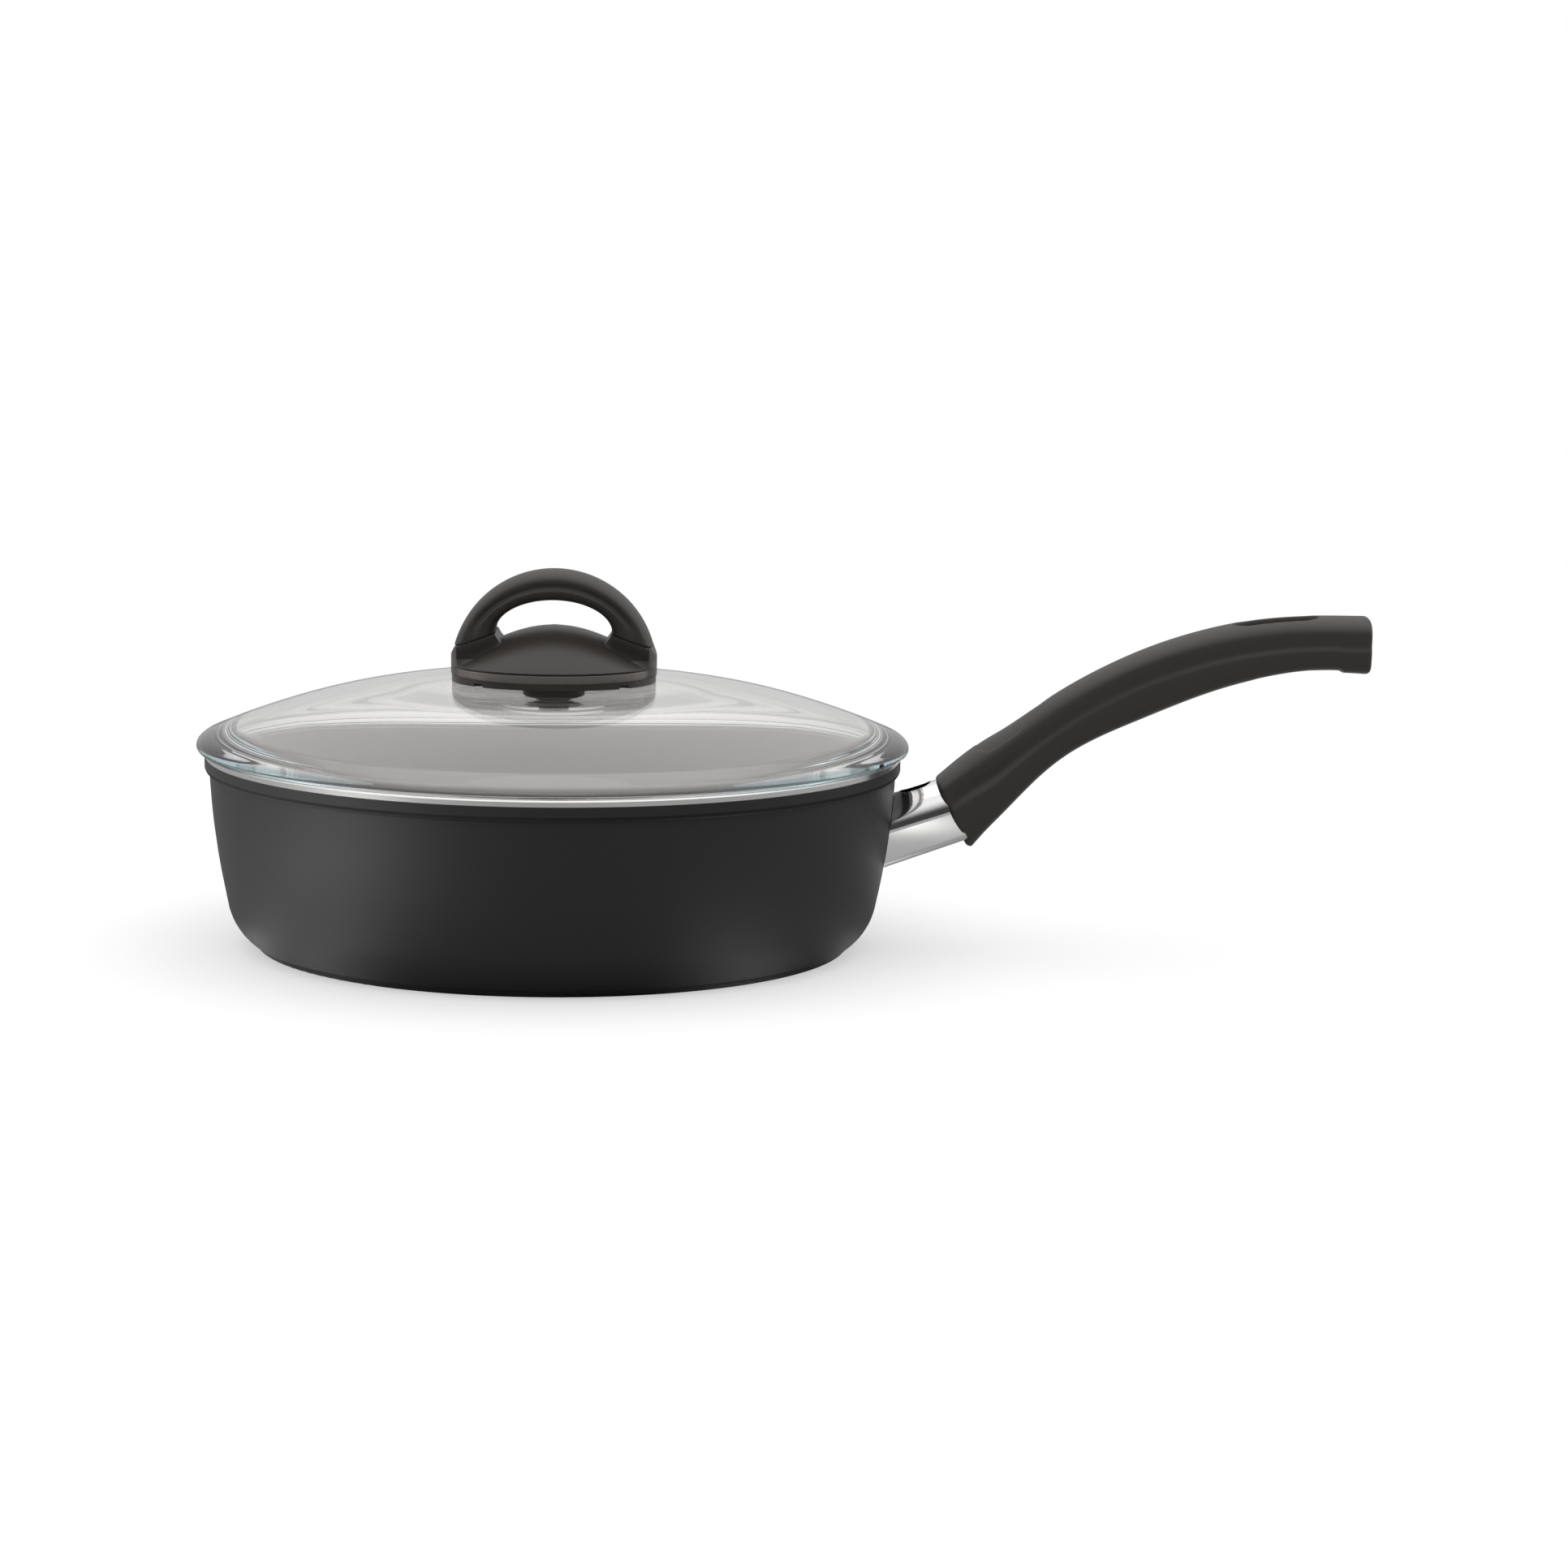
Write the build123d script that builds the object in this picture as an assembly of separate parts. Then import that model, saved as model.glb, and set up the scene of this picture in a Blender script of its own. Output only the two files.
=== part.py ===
from build123d import *
import math
import os

# A saute pan with a glass lid. The pan is one casting with a boss for its handle. A polished
# sleeve covers the boss, and one long screw pulls the moulded grip against both of them.
# The lid is pressed glass with a two-piece knob, held by one screw from below.
# Millimetres. The origin is on the pan's axis at the underside of its base.
# +X runs towards the grip and +Z is up. The lid is on the pan.

overrun = 2.0              # how far every cut runs past the face that it opens
metal_clearance = 0.05     # between two rigid pieces of one assembly that touch along a curve
lid_clearance = 0.3        # between the lid and the pan, all round

# Pan casting. Each inset is measured inwards from the rim's radius.
rim_radius = 140.0
pan_height = 79.5
rim_bare_height = 2.6      # the uncoated ring at the top
rim_bare_step = 0.2
rim_band_height = 3.6      # the coated band under it
rim_band_step = 2.0
rim_curve_height = 2.6     # over which the band curves back to the wall
rim_edge_round = 0.7
wall_thickness = 3.6
wall_mid_height = 44.0
wall_mid_inset = 4.5
wall_low_height = 18.5
wall_low_inset = 9.1
corner_mid_height = 9.2
corner_mid_inset = 12.6
corner_foot_inset = 18.4
foot_height = 3.0
foot_inset = 20.3
foot_edge_round = 2.0
base_thickness = 6.0
floor_corner_reach = 17.0  # how far the inside corner's curve runs in over the floor

# Sleeve between the pan and the grip, and the boss inside it
handle_rise_angle = 18.9
sleeve_start_inset = 4.8   # the sleeve's centre line crosses a point this far inside the rim
sleeve_start_drop = 31.1   # and this far under it
sleeve_half_width = 13.3
sleeve_pan_half_height = 13.25
sleeve_grip_half_height = 12.45
sleeve_length = 30.0       # along the centre line, to where it is cut by the grip's front face
sleeve_thickness = 0.9
sleeve_wall_gap = 0.2
sleeve_slot_length = 13.2
sleeve_slot_width = 8.8
sleeve_slot_offset = 15.9  # from the start point to the slot's centre, along the centre line
boss_side_gap = 2.8
boss_floor_gap = 0.3
boss_half_height = 9.8

# Grip
grip_standoff = 15.5       # from the rim to the highest point of the front face, along X
grip_front_rise = 21.4     # that point's height over the sleeve's start point
grip_length = 172.2        # along X, from that point to the end face
grip_height = 94.2         # from the lowest point of the front face to the highest point of the grip
grip_half_width = 14.6
grip_end_round = 2.2
hanging_slot_margin = 20.7 # from the slot's end to the grip's end, along X
hanging_slot_length = 34.3
hanging_slot_width = 15.0
hanging_slot_lean_angle = 9.0

# Handle screw and what it holds. Its axis runs parallel to the sleeve's, under the boss's.
handle_screw_drop = 3.8
handle_screw_radius = 2.45
handle_screw_head_radius = 4.6
handle_screw_head_height = 3.6
handle_screw_reach = 19.0  # from the grip's front face into the boss
handle_screw_drive = 2.0   # radius of the hexagon in its head
handle_screw_seat = 5.0    # grip material between the front face and the pocket's floor
handle_pocket_radius = 5.5
handle_pocket_length = 30.0
handle_insert_radius = 4.2
handle_insert_length = 15.0
handle_insert_inset = 1.0
handle_insert_flange_radius = 5.2
handle_insert_flange_height = 1.2
handle_washer_radius = 4.9
handle_washer_thickness = 1.0
lock_washer_radius = 4.3
lock_washer_thickness = 1.3
lock_washer_split = 0.8

# Lid glass. Rises are measured from its seat on the rim, insets inwards from its own edge.
glass_overhang = 3.2       # past the pan's rim
glass_crown_rise = 28.0
glass_middle_radius = 52.0  # the flatter middle, under the knob
glass_middle_fall = 1.3     # from the crown to the edge of that middle
glass_shoulder_inset = 38.2
glass_shoulder_rise = 17.6
glass_flange_inset = 3.7
glass_flange_rise = 5.2
glass_rim_round = 1.6
glass_thickness = 4.4
glass_rib_depth = 2.8      # the rib that drops inside the pan and centres the lid
glass_rib_width = 3.6
glass_rib_round = 1.2
glass_hole_radius = 3.6

# Knob base: an oval moulding, with a plate under it. Rises are measured from the plate's lowest
# visible edge, at the ends of the oval, just above the glass.
knob_half_length = 41.4
knob_half_depth = 36.0
knob_plate_gap = 0.32      # between that edge and the glass under it
knob_plate_height = 2.4
knob_plate_width = 6.0
knob_plate_inset = 0.3
knob_plate_notch_width = 3.6
knob_plate_notch_height = 1.2
knob_plate_notch_x = 29.0
knob_plate_notch_depth = 3.0
knob_band_height = 3.3
knob_groove_depth = 0.6
knob_groove_height = 0.5
knob_edge_height = 0.4     # the upright edge of the dome, over the groove
knob_crest_rise = 22.1
knob_wall = 2.6
knob_boss_radius = 8.0
knob_lug_margin = 0.4      # how far the base's lugs stand out past the arch's feet, across
knob_post_radius = 5.6
knob_post_length = 8.0

# Knob arch
arch_centre_rise = 3.3
arch_opening_half_width = 23.3
arch_opening_height = 12.7
arch_opening_rise = 19.9
arch_half_width = 12.2
arch_foot_half_width = 13.2
arch_foot_outer_inset = 1.4    # the joint line between arch and base runs between these two
arch_foot_outer_rise = 14.0
arch_foot_inner_inset = 2.1
arch_foot_inner_rise = 20.5
arch_joint_gap = 0.25
arch_foot_extra = 3.5      # how far the arch is drawn past its joint line before it is cut
arch_angles = [24.0, 48.0, 90.0]            # of each cross-section after the foot, on the outside
arch_opening_angles = [9.0, 45.0, 90.0]     # and on the opening

# Knob fasteners and seals
arch_screw_radius = 1.9
arch_screw_reach = 8.5
arch_screw_head_radius = 3.4
arch_screw_head_height = 2.2
arch_screw_drive = 1.3
knob_insert_radius = 4.4
knob_insert_length = 9.0
knob_screw_radius = 2.45
knob_screw_head_radius = 6.0
knob_screw_head_height = 1.8
knob_screw_drive = 2.2
knob_screw_reach = 8.0
seat_seal_radius = 15.0
lower_seal_radius = 13.0
lower_seal_thickness = 2.8
knob_washer_radius = 12.4
knob_washer_thickness = 1.2

# Where each cross-section of the grip starts and ends, as shares of the grip's length and height
# measured from the top of its front face: top point, then bottom point.
grip_top_shares = [(0.0, 0.0), (0.0401, 0.0641), (0.0813, 0.1243), (0.1568, 0.2119),
                   (0.279, 0.3664), (0.419, 0.5056), (0.569, 0.6131), (0.72, 0.6811),
                   (0.859, 0.7072), (1.0, 0.7091)]
grip_bottom_shares = [(0.0819, -0.2919), (0.1144, -0.2206), (0.1498, -0.1529), (0.241, 0.0179),
                      (0.3545, 0.1635), (0.473, 0.2611), (0.617, 0.3696), (0.746, 0.4411),
                      (0.874, 0.4841), (1.0, 0.4731)]
grip_width_shares = [1.0, 0.965, 0.93, 0.84, 0.84, 0.88, 0.91, 0.93, 0.96, 1.0]
grip_crease_shares = [0.58, 0.52, 0.47, 0.42, 0.44, 0.5, 0.48, 0.46, 0.48, 0.56]
grip_end_shares = [(0.3, 0.7), (1.0, 1.0)]     # the rounded end: how far in and how far out
arch_crease_share = 0.5

# A handle's cross-section: a round crown, a shallow flute down to a crease, and a rounder belly.
# Shares of the half width and of the height from the underside.
crown_width_share = 0.93
crown_rise_share = 0.16    # how far the crown starts above the crease
flute_width_share = 0.94
belly_width_share = 0.92
belly_rise_share = 0.5     # of the crease's height
keel_width_share = 0.6
keel_rise_share = 0.1

# The ridge line along the knob's dome: shares of its half length and height
knob_ridge_shares = [(-1, 0), (-0.86, 0.308), (-0.5, 0.8), (0, 1), (0.5, 0.8), (0.86, 0.308), (1, 0)]

# Sizes and places worked out from those above
pan_mouth_radius = rim_radius - rim_band_step - wall_thickness
rise = math.radians(handle_rise_angle)
along = Vector(math.cos(rise), 0, math.sin(rise))      # the sleeve's direction
upward = Vector(-math.sin(rise), 0, math.cos(rise))    # square to it, away from the table
sleeve_start = Vector(rim_radius - sleeve_start_inset, 0, pan_height - sleeve_start_drop)
boss_half_width = sleeve_half_width - sleeve_thickness - boss_side_gap
boss_drop = sleeve_grip_half_height - sleeve_thickness - boss_floor_gap - boss_half_height
handle_screw_offset = boss_drop + handle_screw_drop
grip_front_x = rim_radius + grip_standoff
grip_front_z = sleeve_start.Z + grip_front_rise
glass_seat_z = pan_height + lid_clearance
glass_rim_radius = rim_radius + glass_overhang
glass_crown_z = glass_seat_z + glass_crown_rise
glass_shoulder_radius = glass_rim_radius - glass_shoulder_inset
glass_middle_curve = (glass_middle_radius ** 2 / glass_middle_fall + glass_middle_fall) / 2
knob_glass_fall = glass_middle_curve - math.sqrt(glass_middle_curve ** 2 - knob_half_length ** 2)
seat_seal_thickness = knob_plate_height + knob_plate_gap - knob_glass_fall
knob_plate_z = glass_crown_z - knob_glass_fall + knob_plate_gap
knob_crest_z = knob_plate_z + knob_crest_rise
arch_centre_z = knob_plate_z + arch_centre_rise
arch_opening_z = knob_plate_z + arch_opening_rise
arch_foot_outer_x = knob_half_length - arch_foot_outer_inset
arch_foot_outer_z = knob_plate_z + arch_foot_outer_rise
arch_foot_inner_x = arch_opening_half_width - arch_foot_inner_inset
arch_foot_inner_z = knob_plate_z + arch_foot_inner_rise


def side_point(x, z):
    return Vector(x, 0, z)


def arc_about(centre, start, end):
    """A circular arc from start to end that bulges away from centre."""
    half_way = (start + end) * 0.5 - centre
    radius = (start - centre).length
    return ThreePointArc(start, centre + half_way.normalized() * radius, end)


def outline(points):
    """Straight edges through the points, in order."""
    return [Line(a, b) for a, b in zip(points, points[1:])]


def turned(edges):
    """The round solid whose half section is bounded by the edges."""
    return revolve(Face(Wire(edges)), Axis.Z)


def rod(start, direction, radius, length):
    """A cylinder that starts at a point and runs along a direction."""
    return extrude(Plane(origin=start, z_dir=direction) * Circle(radius), amount=length)


def tube(start, direction, outer_radius, inner_radius, length):
    beyond = start - direction * overrun
    return rod(start, direction, outer_radius, length) - rod(
        beyond, direction, inner_radius, length + 2 * overrun)


def socket_screw(seat, direction, radius, length, head_radius, head_height, drive_radius):
    """A cheese-head screw: its head's underside is at seat and its shank runs along direction."""
    head = rod(seat - direction * head_height, direction, head_radius, head_height)
    head = chamfer(head.edges().group_by(SortBy.LENGTH)[-1], head_height / 8)
    socket_plane = Plane(origin=seat - direction * (head_height + overrun), z_dir=direction)
    socket = extrude(socket_plane * RegularPolygon(drive_radius, 6), amount=head_height / 2 + overrun)
    shank = rod(seat - direction * (head_height / 4), direction, radius, length + head_height / 4)
    return head - socket + shank


# Pan

def pan_outside(grow):
    """The pan's outer shape as a filled solid, grown outwards by grow."""
    bare_low_z = pan_height - rim_bare_height
    band_low_z = bare_low_z - rim_band_height
    bare_radius = rim_radius - rim_bare_step
    foot_radius = rim_radius - foot_inset
    foot_arc_start = side_point(foot_radius - foot_edge_round, 0)
    foot_arc_end = side_point(foot_radius + grow, foot_edge_round)
    foot_centre = side_point(foot_radius - foot_edge_round, foot_edge_round)
    foot_mid = foot_centre + Vector(1, 0, -1).normalized() * foot_edge_round
    foot_top = side_point(foot_radius + grow, foot_height)
    corner_start = side_point(rim_radius - corner_foot_inset + grow, foot_height)
    corner_mid = side_point(rim_radius - corner_mid_inset + grow, corner_mid_height)
    wall_low = side_point(rim_radius - wall_low_inset + grow, wall_low_height)
    wall_mid = side_point(rim_radius - wall_mid_inset + grow, wall_mid_height)
    wall_high = side_point(rim_radius - rim_band_step + grow, band_low_z - rim_curve_height)
    band_low = side_point(rim_radius + grow, band_low_z)
    band_high = side_point(rim_radius + grow, bare_low_z)
    bare_low = side_point(bare_radius + grow, bare_low_z)
    bare_high = side_point(bare_radius + grow, pan_height - rim_edge_round)
    edge_top = side_point(bare_radius - rim_edge_round, pan_height)
    edges = [Line(side_point(0, 0), foot_arc_start),
             ThreePointArc(foot_arc_start, foot_mid + Vector(grow / 2, 0, 0), foot_arc_end)]
    edges += outline([foot_arc_end, foot_top, corner_start])
    edges += [ThreePointArc(corner_start, corner_mid, wall_low),
              ThreePointArc(wall_low, wall_mid, wall_high),
              TangentArc(band_low, wall_high, tangent=Vector(0, 0, -1))]
    edges += outline([band_low, band_high, bare_low, bare_high, edge_top,
                      side_point(0, pan_height), side_point(0, 0)])
    return turned(edges)


def pan_cavity():
    """The space inside the pan, open past its rim."""
    inner = pan_mouth_radius
    mouth = side_point(inner + rim_edge_round, pan_height)
    high = side_point(inner, pan_height - rim_edge_round)
    mid = side_point(rim_radius - wall_mid_inset - wall_thickness, wall_mid_height)
    low = side_point(rim_radius - wall_low_inset - wall_thickness,
                     wall_low_height + base_thickness / 2)
    floor_edge = side_point(low.X - floor_corner_reach, base_thickness)
    tangent = (low - mid).normalized()
    corner = TangentArc(low, floor_edge, tangent=tangent)
    above = pan_height + overrun
    edges = [ThreePointArc(high, mid, low), corner]
    edges += outline([floor_edge, side_point(0, base_thickness), side_point(0, above),
                      side_point(mouth.X, above), mouth, high])
    return turned(edges)


def grip_front_plane():
    """The grip's front face: it looks towards the pan."""
    top, bottom = grip_section_ends(0)
    down = (bottom - top).normalized()
    return Plane(origin=top, x_dir=Vector(0, 1, 0), z_dir=Vector(0, 1, 0).cross(down))


def beyond_grip_front():
    """A block that holds everything on the grip's side of its front face."""
    plane = grip_front_plane()
    if plane.z_dir.X < 0:
        plane = Plane(origin=plane.origin, x_dir=plane.x_dir, z_dir=-plane.z_dir)
    return extrude(plane * Rectangle(2 * grip_height, 2 * grip_height), amount=grip_length)


def point_on_front(offset):
    """Where a line parallel to the sleeve, offset downwards, meets the grip's front face."""
    plane = grip_front_plane()
    start = sleeve_start - upward * offset
    distance = (plane.origin - start).dot(plane.z_dir) / along.dot(plane.z_dir)
    return start + along * distance


def arched_section(centre, half_width, half_height):
    """The sleeve's cross-section: flat sides and floor, and a round top."""
    plane = Plane(origin=centre, x_dir=Vector(0, 1, 0), z_dir=along)
    if plane.y_dir.Z < 0:
        plane = Plane(origin=centre, x_dir=Vector(0, -1, 0), z_dir=along)
    spring = half_height - half_width
    shape = make_face([
        Line((-half_width, spring), (-half_width, -half_height)),
        Line((-half_width, -half_height), (half_width, -half_height)),
        Line((half_width, -half_height), (half_width, spring)),
        ThreePointArc((half_width, spring), (0, half_height), (-half_width, spring)),
    ])
    lower = shape.vertices().group_by(Axis.Y)[0]
    return plane * fillet(lower, half_width / 5)


def sleeve_body(inset):
    """The sleeve's tapered shape, filled, with every side moved in by inset."""
    pan_end = arched_section(sleeve_start - along * sleeve_length / 2,
                             sleeve_half_width - inset, sleeve_pan_half_height - inset)
    grip_end = arched_section(sleeve_start + along * (sleeve_length + sleeve_length / 2),
                              sleeve_half_width - inset, sleeve_grip_half_height - inset)
    return loft([pan_end, grip_end])


def handle_boss():
    centre = sleeve_start - upward * boss_drop
    section = arched_section(centre - along * sleeve_length / 2, boss_half_width, boss_half_height)
    return extrude(section, amount=2 * sleeve_length, dir=along) - beyond_grip_front()


def handle_insert_start():
    return point_on_front(handle_screw_offset) - along * handle_insert_inset


def pan_body():
    front = point_on_front(handle_screw_offset)
    insert_start = handle_insert_start()
    hole_radius = handle_screw_radius + 2 * metal_clearance
    screw_hole = rod(front + along * overrun, -along, hole_radius,
                     overrun + handle_screw_reach + overrun)
    insert_hole = rod(front + along * overrun, -along, handle_insert_radius + metal_clearance,
                      overrun + handle_insert_inset + handle_insert_length + metal_clearance)
    flange_hole = rod(insert_start + along * (handle_insert_inset + overrun), -along,
                      handle_insert_flange_radius + metal_clearance,
                      handle_insert_inset + overrun + handle_insert_flange_height)
    boss = handle_boss() - screw_hole - insert_hole - flange_hole
    return pan_outside(0) + boss - pan_cavity()


def handle_insert():
    """The threaded steel insert in the boss, with a flange at its mouth."""
    start = handle_insert_start()
    bore = handle_screw_radius + metal_clearance
    body = tube(start, -along, handle_insert_radius, bore, handle_insert_length)
    flange = tube(start, -along, handle_insert_flange_radius, bore, handle_insert_flange_height)
    return body + flange


def flame_guard():
    """The polished sleeve over the boss, with a slot in its crest."""
    shell = sleeve_body(0) - sleeve_body(sleeve_thickness)
    shell = shell - pan_outside(sleeve_wall_gap) - beyond_grip_front()
    crest = sleeve_start + along * sleeve_slot_offset + upward * boss_half_height
    slot_plane = Plane(origin=crest, x_dir=along, z_dir=upward)
    slot = extrude(slot_plane * SlotOverall(sleeve_slot_length, sleeve_slot_width),
                   amount=sleeve_pan_half_height)
    return shell - slot


# Grip

def grip_section_ends(index):
    """The top and bottom point of one of the grip's cross-sections."""
    length = grip_length - grip_end_round
    return [side_point(grip_front_x + length * x, grip_front_z + grip_height * z)
            for x, z in (grip_top_shares[index], grip_bottom_shares[index])]


def handle_section(top, bottom, half_width, crease_share):
    """The closed outline of a handle's cross-section, from the crown round to the keel."""
    def at(width_share, height_share):
        across = Vector(0, width_share * half_width, 0)
        return bottom + (top - bottom) * height_share + across

    crown = crease_share + crown_rise_share
    flute = crease_share + crown_rise_share / 2
    belly = crease_share * belly_rise_share
    edges = [ThreePointArc(at(crown_width_share, crown), at(0, 1), at(-crown_width_share, crown)),
             ThreePointArc(at(-crown_width_share, crown), at(-flute_width_share, flute),
                           at(-1, crease_share)),
             ThreePointArc(at(-1, crease_share), at(-belly_width_share, belly),
                           at(-keel_width_share, keel_rise_share)),
             ThreePointArc(at(-keel_width_share, keel_rise_share), at(0, 0),
                           at(keel_width_share, keel_rise_share)),
             ThreePointArc(at(keel_width_share, keel_rise_share), at(belly_width_share, belly),
                           at(1, crease_share)),
             ThreePointArc(at(1, crease_share), at(flute_width_share, flute),
                           at(crown_width_share, crown))]
    return Wire(edges)


def handle_pocket_floor():
    return point_on_front(handle_screw_offset) + along * handle_screw_seat


def handle_grip():
    """The moulded grip, with its hanging slot and the pocket for its screw."""
    sections = []
    for index, width_share in enumerate(grip_width_shares):
        top, bottom = grip_section_ends(index)
        sections.append(handle_section(top, bottom, grip_half_width * width_share,
                                       grip_crease_shares[index]))
    body = Part(Solid.make_loft(sections).wrapped)
    for inset_share, depth_share in grip_end_shares:
        inset = grip_end_round * inset_share
        cap = handle_section(top + Vector(grip_end_round * depth_share, 0, -inset),
                             bottom + Vector(grip_end_round * depth_share, 0, inset),
                             grip_half_width * width_share - inset, grip_crease_shares[-1])
        body = body + Solid.make_loft([sections[-1], cap], ruled=True)
        sections.append(cap)
    front = point_on_front(handle_screw_offset)
    screw_hole = rod(front - along * overrun, along, handle_screw_radius + 2 * metal_clearance,
                     2 * overrun + handle_screw_seat)
    pocket = rod(handle_pocket_floor(), along, handle_pocket_radius, handle_pocket_length)
    slot_x = grip_front_x + grip_length - hanging_slot_margin - hanging_slot_length / 2
    lean = math.radians(hanging_slot_lean_angle)
    slot_plane = Plane(origin=(slot_x, 0, grip_front_z + grip_height * grip_top_shares[-1][1]),
                       x_dir=(math.cos(lean), 0, math.sin(lean)),
                       z_dir=(-math.sin(lean), 0, math.cos(lean)))
    slot = extrude(slot_plane * SlotOverall(hanging_slot_length, hanging_slot_width),
                   amount=grip_height, both=True)
    return body - screw_hole - pocket - slot


def handle_washer():
    return tube(handle_pocket_floor(), along, handle_washer_radius,
                handle_screw_radius + metal_clearance, handle_washer_thickness)


def handle_lock_washer():
    """A split spring washer, flattened under the screw's head."""
    start = handle_pocket_floor() + along * handle_washer_thickness
    ring = tube(start, along, lock_washer_radius, handle_screw_radius + metal_clearance,
                lock_washer_thickness)
    split_plane = Plane(origin=start + upward * lock_washer_radius, z_dir=along)
    split = extrude(split_plane * Rectangle(lock_washer_radius, lock_washer_split),
                    amount=2 * lock_washer_thickness, both=True)
    return ring - split


def handle_screw():
    stack = handle_washer_thickness + lock_washer_thickness
    seat = handle_pocket_floor() + along * stack
    return socket_screw(seat, -along, handle_screw_radius,
                        stack + handle_screw_seat + handle_screw_reach,
                        handle_screw_head_radius, handle_screw_head_height, handle_screw_drive)


# Lid

def glass_dome(drop):
    """The dome's curve from the axis to its flange in three arcs, moved down by drop."""
    points = [side_point(0, glass_crown_z - drop),
              side_point(glass_middle_radius, glass_crown_z - glass_middle_fall - drop),
              side_point(glass_shoulder_radius, glass_seat_z + glass_shoulder_rise - drop),
              side_point(glass_rim_radius - glass_flange_inset,
                         glass_seat_z + glass_flange_rise - drop)]
    arcs = []
    direction = Vector(1, 0, 0)
    for start, end in zip(points, points[1:]):
        arcs.append(TangentArc(start, end, tangent=direction))
        direction = arcs[-1] % 1
    return arcs


def under_glass(drop):
    """Everything under the glass's outer surface moved down by drop, out to its flange."""
    floor = glass_seat_z - glass_rib_depth - overrun
    edges = glass_dome(drop)
    flange = edges[-1] @ 1
    edges += outline([flange, side_point(flange.X, floor), side_point(0, floor),
                      side_point(0, glass_crown_z - drop)])
    return turned(edges)


def lid_glass():
    """The pressed glass: a dome, a thick rounded rim and a rib that centres it in the pan."""
    seat = glass_seat_z
    rib_bottom = seat - glass_rib_depth
    rib_outer = pan_mouth_radius - lid_clearance
    rib_inner = rib_outer - glass_rib_width
    dome = glass_dome(0)
    rim = side_point(glass_rim_radius, seat + glass_rim_round)
    rim_low = rim - Vector(glass_rim_round, 0, glass_rim_round)
    edges = dome + [TangentArc(dome[-1] @ 1, rim, tangent=dome[-1] % 1),
                    arc_about(rim - Vector(glass_rim_round, 0, 0), rim, rim_low)]
    edges += outline([rim_low, side_point(rib_outer, seat), side_point(rib_outer, rib_bottom),
                      side_point(0, rib_bottom), side_point(0, glass_crown_z)])
    down = Vector(0, 0, -1)
    hollow = under_glass(glass_thickness) & rod(side_point(0, glass_crown_z), down, rib_inner,
                                                glass_crown_z)
    body = turned(edges) - hollow
    rib_edges = body.edges().group_by(Axis.Z)[0]
    body = fillet(rib_edges, glass_rib_round)
    return body - rod(side_point(0, glass_crown_z + overrun), down, glass_hole_radius,
                      glass_thickness + 2 * overrun)


# Knob

def oval_prism(inset, low, high):
    """A block with the knob's oval plan, moved in by inset."""
    plan = Plane.XY.offset(low) * Ellipse(knob_half_length - inset, knob_half_depth - inset)
    return extrude(plan, amount=high - low)


def knob_band_levels():
    """Heights of the band's lower edge, the groove's lower edge and the dome's edge."""
    low = knob_plate_z + knob_plate_height
    groove = low + knob_band_height
    return low, groove, groove + knob_groove_height


def knob_dome(inset):
    """The dome over the oval, moved in by inset: a ridge line turned about a lengthwise axis."""
    edge_z = knob_band_levels()[2] + knob_edge_height
    height = knob_crest_z - edge_z
    axis_z = edge_z - (knob_half_depth ** 2 - height ** 2) / (2 * height)
    ridge = [side_point((knob_half_length - inset) * x, edge_z + height * z - inset)
             for x, z in knob_ridge_shares]
    ridge = [ridge[0] + Vector(-overrun, 0, -overrun)] + ridge
    ridge += [ridge[-1] + Vector(overrun, 0, -overrun)]
    face = Face(Wire([Spline(*ridge)] + outline([ridge[-1], side_point(ridge[-1].X, axis_z),
                                                 side_point(ridge[0].X, axis_z), ridge[0]])))
    return revolve(face, Axis((0, 0, axis_z), (1, 0, 0)))


def knob_shell():
    """The knob base's outer shape, filled, and the space inside it."""
    low, groove, dome = knob_band_levels()
    outside = knob_dome(0) & oval_prism(0, dome, knob_crest_z + overrun)
    outside = outside + oval_prism(knob_groove_depth, groove, dome) + oval_prism(0, low, groove)
    inside = knob_dome(knob_wall) & oval_prism(knob_wall, low - overrun, knob_crest_z)
    return outside, inside


def foot_normal():
    """The direction square to the joint between arch and base, on the +X side, pointing up."""
    line = side_point(arch_foot_outer_x - arch_foot_inner_x, arch_foot_outer_z - arch_foot_inner_z)
    return Vector(0, 1, 0).cross(line).normalized() * -1


def above_joint(side, gap):
    """A block over the joint line on one side, starting gap above it."""
    inner = side_point(side * arch_foot_inner_x, arch_foot_inner_z)
    normal = foot_normal()
    normal = Vector(side * abs(normal.X), 0, abs(normal.Z))
    plane = Plane(origin=inner + normal * gap, z_dir=normal)
    block = Rectangle(4 * knob_half_length, 4 * knob_half_length)
    return extrude(plane * block, amount=2 * knob_half_length)


def arch_screw_line(side):
    """The middle of the joint on one side, and the direction of its screw, into the arch."""
    x = (arch_foot_outer_x + arch_foot_inner_x) / 2
    z = (arch_foot_outer_z + arch_foot_inner_z) / 2
    normal = foot_normal()
    return side_point(side * x, z), Vector(side * abs(normal.X), 0, abs(normal.Z))


def knob_lug(side):
    """The raised end of the base that carries one foot of the arch."""
    dome = knob_band_levels()[2]
    points = [side_point(side * arch_foot_inner_x, arch_foot_inner_z),
              side_point(side * arch_foot_outer_x, arch_foot_outer_z),
              side_point(side * knob_half_length, dome), side_point(side * arch_foot_inner_x, dome)]
    slab = extrude(Face(Wire(outline(points + points[:1]))), dir=(0, 1, 0), both=True,
                   amount=arch_foot_half_width + knob_lug_margin)
    return slab & oval_prism(0, dome - overrun, knob_crest_z)


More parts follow.
